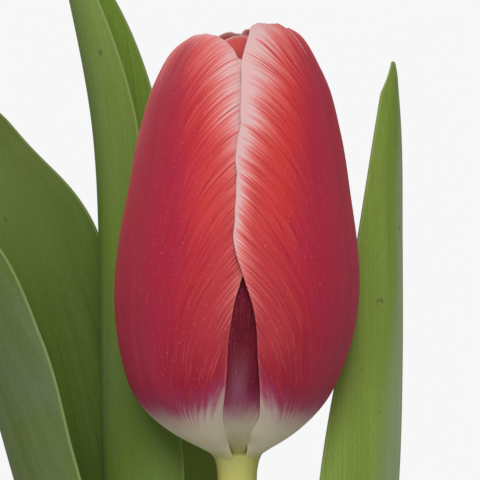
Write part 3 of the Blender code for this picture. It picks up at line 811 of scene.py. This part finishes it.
def make_leaves():
    """The folded leaf at the left, the tall one behind the bloom and the one at the right."""
    # Each leaf's gain is painted light and shade: the tall and right leaves are painted lighter, the left one
    # darker.
    left = leaf_paint("leaf_left_skin", leaf_light_gain=0.87, seed=1.0, near=-1.0, wax_amount=0.9, far_wax_and_sheen=0.1,
                      lit_rise=(160, 186), light=(0.19, 0.26, 0.065))
    tall = leaf_paint("leaf_tall_skin", leaf_light_gain=1.56, seed=2.0, near=-1.0, wax_amount=0.25, far_wax_and_sheen=0.3,
                      lit_rise=(116, 98), light=(0.36, 0.48, 0.11), margin_shade=0.55)
    right = leaf_paint("leaf_right_skin", leaf_light_gain=1.5, seed=3.0, near=1.0, wax_amount=0.03, far_wax_and_sheen=0.78,
                       lit_rise=(0, 1), light=(0.16, 0.23, 0.05))
    make_leaf("leaf_left", LEAF_LEFT, left, seed=1.0, waist=2.2)
    make_leaf("leaf_tall", LEAF_TALL, tall, seed=2.0)
    make_leaf("leaf_right", LEAF_RIGHT, right, seed=3.0)


# ---------------------------------------------------------------------------
# Vase and water
# ---------------------------------------------------------------------------

# Shares of the vase's height and of its greatest radius, up its outside
VASE_SHARES = (0.0125, 0.15, 0.35, 0.567, 0.733, 0.85, 0.933, 0.985)
VASE_WIDTHS = (0.783, 0.94, 1.0, 0.892, 0.699, 0.614, 0.636, 0.684)
VASE_WALL = 3.0
VASE_FLOOR = 6.0
FOOT_EDGE = 24.6
RING_HEIGHT = 0.10
LIP_HEIGHT = 1.6
COVE_WIDTH = 3.6
COVE_HEIGHT = 4.0
WATER_GAP = 0.35
WATER_CLIMB = 0.6


def vase_radius(height):
    """Radius of the vase's outside at a height."""
    return through(VASE_SHARES, VASE_WIDTHS, height / VASE_HIGH[2]) * VASE_HIGH[0]


def make_vase(material):
    """The vase's profile turned round its axis: out over the flat underside, round the foot, up the outside
    with faint throwing rings, over a round lip and down the inside to the floor."""
    top = VASE_HIGH[2]
    shoulder = top - LIP_HEIGHT
    heights = np.linspace(1.5, shoulder, 150)
    rings = RING_HEIGHT * np.sin(heights * 1.15 + 0.8 * np.sin(heights * 0.11)) * ease(8, 20, heights)
    outside = np.stack([vase_radius(heights) + rings * ease(top - 4, top - 14, heights), heights], axis=1)
    under = np.stack([np.linspace(0.4, FOOT_EDGE, 14), np.zeros(14)], axis=1)
    corner = np.linspace(0.1, 1.4, 8)[:, None]
    corner = 1.45 * np.concatenate([np.sin(corner), -np.cos(corner)], axis=1)
    round_foot = np.array([[FOOT_EDGE, 1.5]]) + corner
    lip_middle = vase_radius(np.array([shoulder]))[0] - VASE_WALL / 2
    bend = np.linspace(0.05, np.pi - 0.05, 20)
    lip_radius = lip_middle + VASE_WALL / 2 * np.cos(bend)
    lip = np.stack([lip_radius, shoulder + LIP_HEIGHT * np.sin(bend)], axis=1)
    down = np.linspace(top - 1.7, VASE_FLOOR + COVE_HEIGHT, 110)
    inside = np.stack([vase_radius(down) - VASE_WALL, down], axis=1)
    bowl = inside[-1, 0] - COVE_WIDTH
    turn = np.linspace(0.1, np.pi / 2, 10)
    sink = COVE_HEIGHT - COVE_HEIGHT * np.sin(turn)
    cove = np.stack([bowl + COVE_WIDTH * np.cos(turn), VASE_FLOOR + sink], axis=1)
    floor = np.stack([np.linspace(bowl - 0.8, 0.4, 14), np.full(14, VASE_FLOOR)], axis=1)
    profile = np.concatenate([under, round_foot, outside, lip, inside, cove, floor])
    zeros = np.zeros(len(profile))
    rings_round = round_rings(np.stack([zeros, zeros, profile[:, 1]], axis=1), profile[:, 0], 160)
    thin = np.zeros(len(profile))
    start = len(under) + len(round_foot)
    lip_start = start + len(heights)
    thin[start:lip_start] = ease(0.02, 0.1, rings) * 0.35
    thin[lip_start:lip_start + len(lip)] = np.sin(bend) ** 2
    values = {"rise": profile[:, 1][:, None], "thin": thin[:, None]}
    piece = ring_piece("vase", rings_round, material, values)
    stand_for(piece, "vase")


def make_water(material):
    """The water as one closed ring: up the vase's wall, in over the surface, which climbs a little at the
    wall and at the stem, down beside the stem and out over the floor."""
    surface = WATER_HIGH[2] - 0.7
    floor = WATER_LOW[2]
    wall = np.linspace(floor + COVE_HEIGHT, surface + WATER_CLIMB, 40)
    wall_radius = vase_radius(wall) - VASE_WALL - WATER_GAP
    steps = 120
    angle = np.linspace(0, 2 * np.pi, steps, endpoint=False)
    circle = np.stack([np.cos(angle), np.sin(angle), np.zeros(steps)], axis=1)
    share = np.linspace(0, 1, 40)[1:-1]
    stem_top = stem_middle(np.array(surface))
    stem_radius = LOW_STEM_RADIUS + WATER_GAP
    rim = wall_radius[-1]
    radius = rim + (stem_radius - rim) * share
    climb = WATER_CLIMB * (np.exp(-(rim - radius) / 1.2) + np.exp(-(radius - stem_radius) / 1.2))
    middle = (stem_top - [0, 0, surface]) * share[:, None]
    across = middle[:, None] + circle[None] * radius[:, None, None]
    across[..., 2] = (surface + climb)[:, None]
    down = np.linspace(surface + WATER_CLIMB, floor, 30)
    beside = stem_middle(down)[:, None] + circle[None] * stem_radius
    under = np.linspace(0, 1, 12)[1:]
    foot = stem_middle(np.array(floor))
    under_radius = stem_radius + (wall_radius[0] - 3.4 - stem_radius) * under
    under_middle = foot * (1 - under[:, None])
    below = under_middle[:, None] + circle[None] * under_radius[:, None, None]
    below[..., 2] = floor
    up = np.stack([np.zeros(40), np.zeros(40), wall], axis=1)[:, None]
    up = up + circle[None] * wall_radius[:, None, None]
    rings = np.concatenate([up, across, beside, below])
    piece = ring_piece("water", rings, material, {}, closed=True)
    stand_for(piece, "water")


# ---------------------------------------------------------------------------
# Stage, light and camera
# ---------------------------------------------------------------------------


def make_floor():
    """A round pale floor with a soft, slightly turned-down edge."""
    share = np.linspace(0.002, 1, 60)
    radius = FLOOR_RADIUS * share
    drop = -0.02 - 6.0 * ease(0.97, 1.0, share)
    top = round_rings(np.stack([0 * share, 0 * share, drop], axis=1), radius, 128)
    under = round_rings(np.array([[0.0, 0.0, -30.0]] * 2), np.array([FLOOR_RADIUS, 3.0]), 128)
    rings = np.concatenate([top, under])[::-1]
    floor = ring_piece("floor", rings, floor_paint(), {})


def make_light(name, place, aim, size, watts):
    """A white disk of this size in metres that shines from its place towards its aim."""
    data = bpy.data.lights.new(name, "AREA")
    data.shape = "DISK"
    data.size = size
    data.energy = watts
    light = bpy.data.objects.new(name, data)
    bpy.context.scene.collection.objects.link(light)
    light.location = place
    light.rotation_euler = (Vector(aim) - Vector(place)).to_track_quat("-Z", "Y").to_euler()


def make_world():
    """An even pale backdrop for the camera, and a dimmer sky, brighter above than below, for the light."""
    world = bpy.data.worlds.new("studio")
    bpy.context.scene.world = world
    world.use_nodes = True
    nodes = world.node_tree.nodes
    links = world.node_tree.links
    backdrop = nodes["Background"]
    backdrop.inputs["Color"].default_value = (0.93, 0.93, 0.935, 1.0)
    sky = nodes.new("ShaderNodeBackground")
    place = nodes.new("ShaderNodeTexCoord")
    split = nodes.new("ShaderNodeSeparateXYZ")
    ramp = nodes.new("ShaderNodeMapRange")
    for index, value in ((1, -1.0), (2, 1.0), (3, 0.12), (4, 0.55)):
        ramp.inputs[index].default_value = value
    links.new(place.outputs["Generated"], split.inputs[0])
    links.new(split.outputs["Z"], ramp.inputs[0])
    links.new(ramp.outputs[0], sky.inputs["Strength"])
    ray = nodes.new("ShaderNodeLightPath")
    mix = nodes.new("ShaderNodeMixShader")
    links.new(ray.outputs["Is Camera Ray"], mix.inputs[0])
    links.new(sky.outputs[0], mix.inputs[1])
    links.new(backdrop.outputs[0], mix.inputs[2])
    links.new(mix.outputs[0], nodes["World Output"].inputs["Surface"])


def make_camera():
    """A long lens, level with the middle of the bloom and straight in front of it."""
    data = bpy.data.cameras.new("camera")
    data.lens = LENS
    data.sensor_width = SENSOR
    camera = bpy.data.objects.new("camera", data)
    bpy.context.scene.collection.objects.link(camera)
    camera.location = Vector((CAMERA_ASIDE, -CAMERA_DISTANCE, BLOOM_MIDDLE)) * MM
    camera.rotation_euler = (math.radians(90.0), 0.0, 0.0)
    data.clip_start = 0.01
    bpy.context.scene.camera = camera


def make_lights():
    """A large soft key above the camera, and a weak light behind the bloom on its left."""
    middle = (0.0, 0.0, BLOOM_MIDDLE * MM)
    make_light("key", (-0.08, -1.05, 1.1), middle, 0.8, 13.2)
    make_light("back", (-0.5, 0.9, 0.9), middle, 0.8, 3.0)


def main():
    make_camera()
    make_lights()
    make_world()
    make_floor()
    make_vase(glaze_paint())
    make_water(water_paint())
    make_stem(stem_paint())
    make_leaves()
    make_petals()
    make_pistil(pistil_paint())
    make_stamens(stamen_paint())
    bpy.context.scene.view_settings.view_transform = "Standard"


main()
